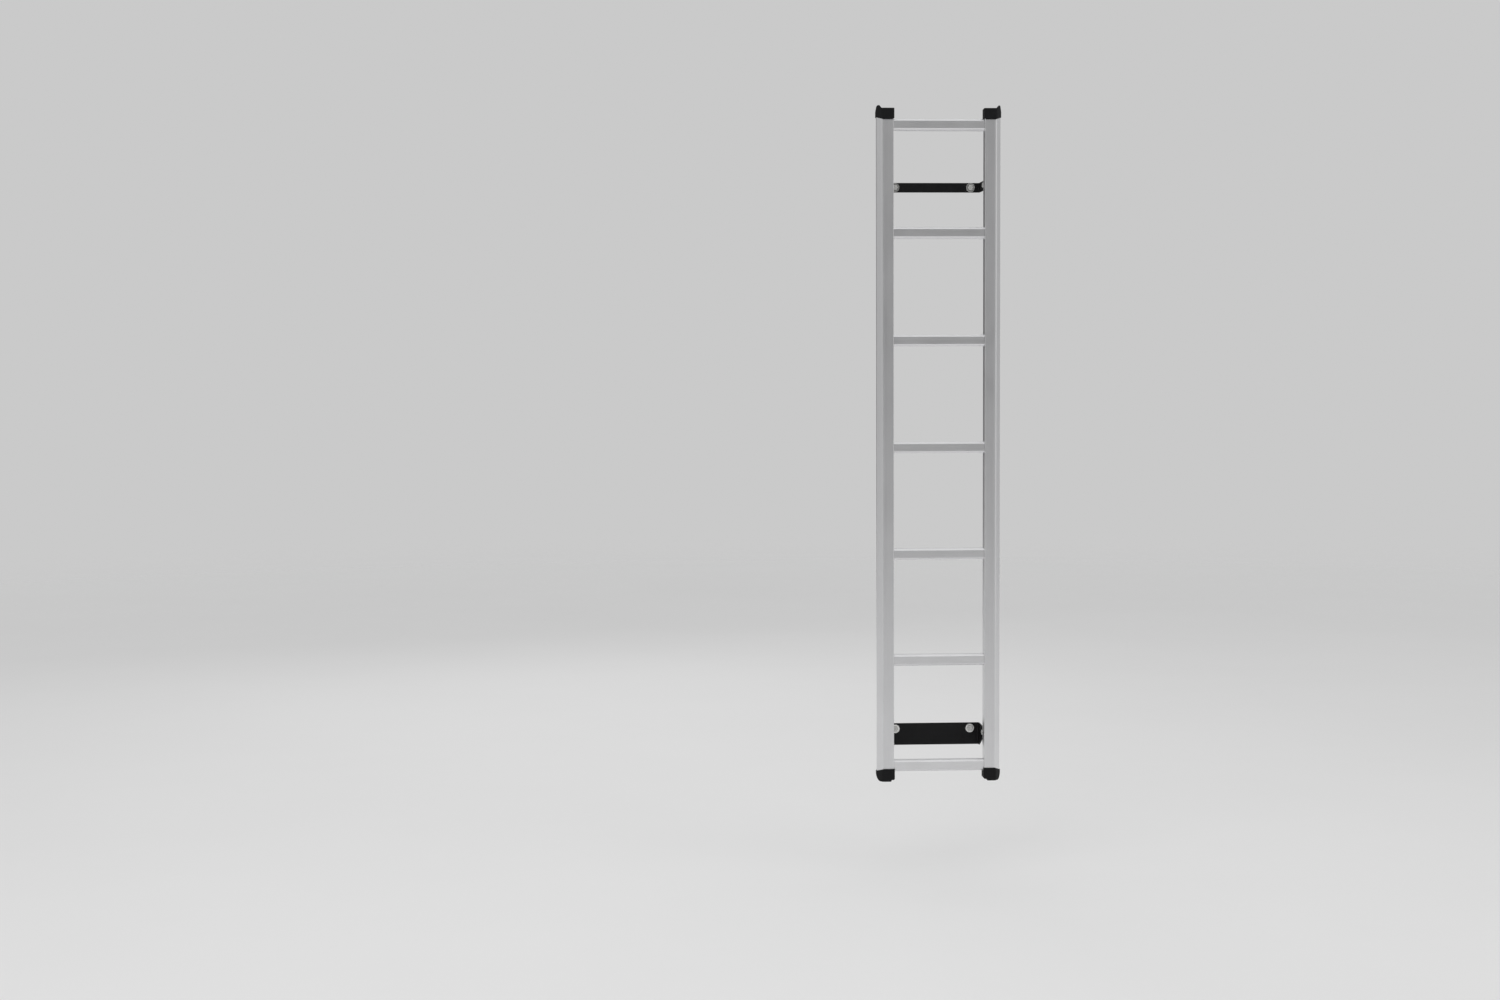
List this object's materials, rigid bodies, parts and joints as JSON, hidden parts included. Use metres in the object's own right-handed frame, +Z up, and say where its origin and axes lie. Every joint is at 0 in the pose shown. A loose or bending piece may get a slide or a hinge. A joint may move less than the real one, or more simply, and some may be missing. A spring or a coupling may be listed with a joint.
{
  "type": "van rear door ladder",
  "caption": "Fixed aluminium ladder for the rear door of a van, with black end caps and bent steel brackets that bolt to the door.",
  "frame": {"origin": "on the door face of the lower bracket, midway between its two door bolts", "axes": "+X to the right of someone facing the door, +Y into the door, +Z up"},
  "size_m": [0.3536, 0.1562, 1.898],
  "materials": {
    "stiles": "satin",
    "rungs": "satin",
    "caps": "moulded",
    "bracket_steel": "powder coated",
    "zinc_fasteners": "zinc plated"
  },
  "bodies": {
    "root": {"left_stile": "stiles", "right_stile": "stiles", "rung_1": "rungs", "rung_2": "rungs", "rung_3": "rungs", "rung_4": "rungs", "rung_5": "rungs", "rung_6": "rungs", "rung_7": "rungs", "top_left_cap": "caps", "top_right_cap": "caps", "bottom_left_cap": "caps", "bottom_right_cap": "caps", "upper_door_bracket": "bracket_steel", "upper_arms": "bracket_steel", "lower_door_bracket": "bracket_steel", "lower_arms": "bracket_steel", "upper_door_bolts": "zinc_fasteners", "upper_wing_bolts": "zinc_fasteners", "upper_wing_nuts": "zinc_fasteners", "upper_stile_bolts": "zinc_fasteners", "lower_door_bolts": "zinc_fasteners", "lower_wing_bolts": "zinc_fasteners", "lower_wing_nuts": "zinc_fasteners", "lower_stile_bolts": "zinc_fasteners"}
  },
  "joints": []
}
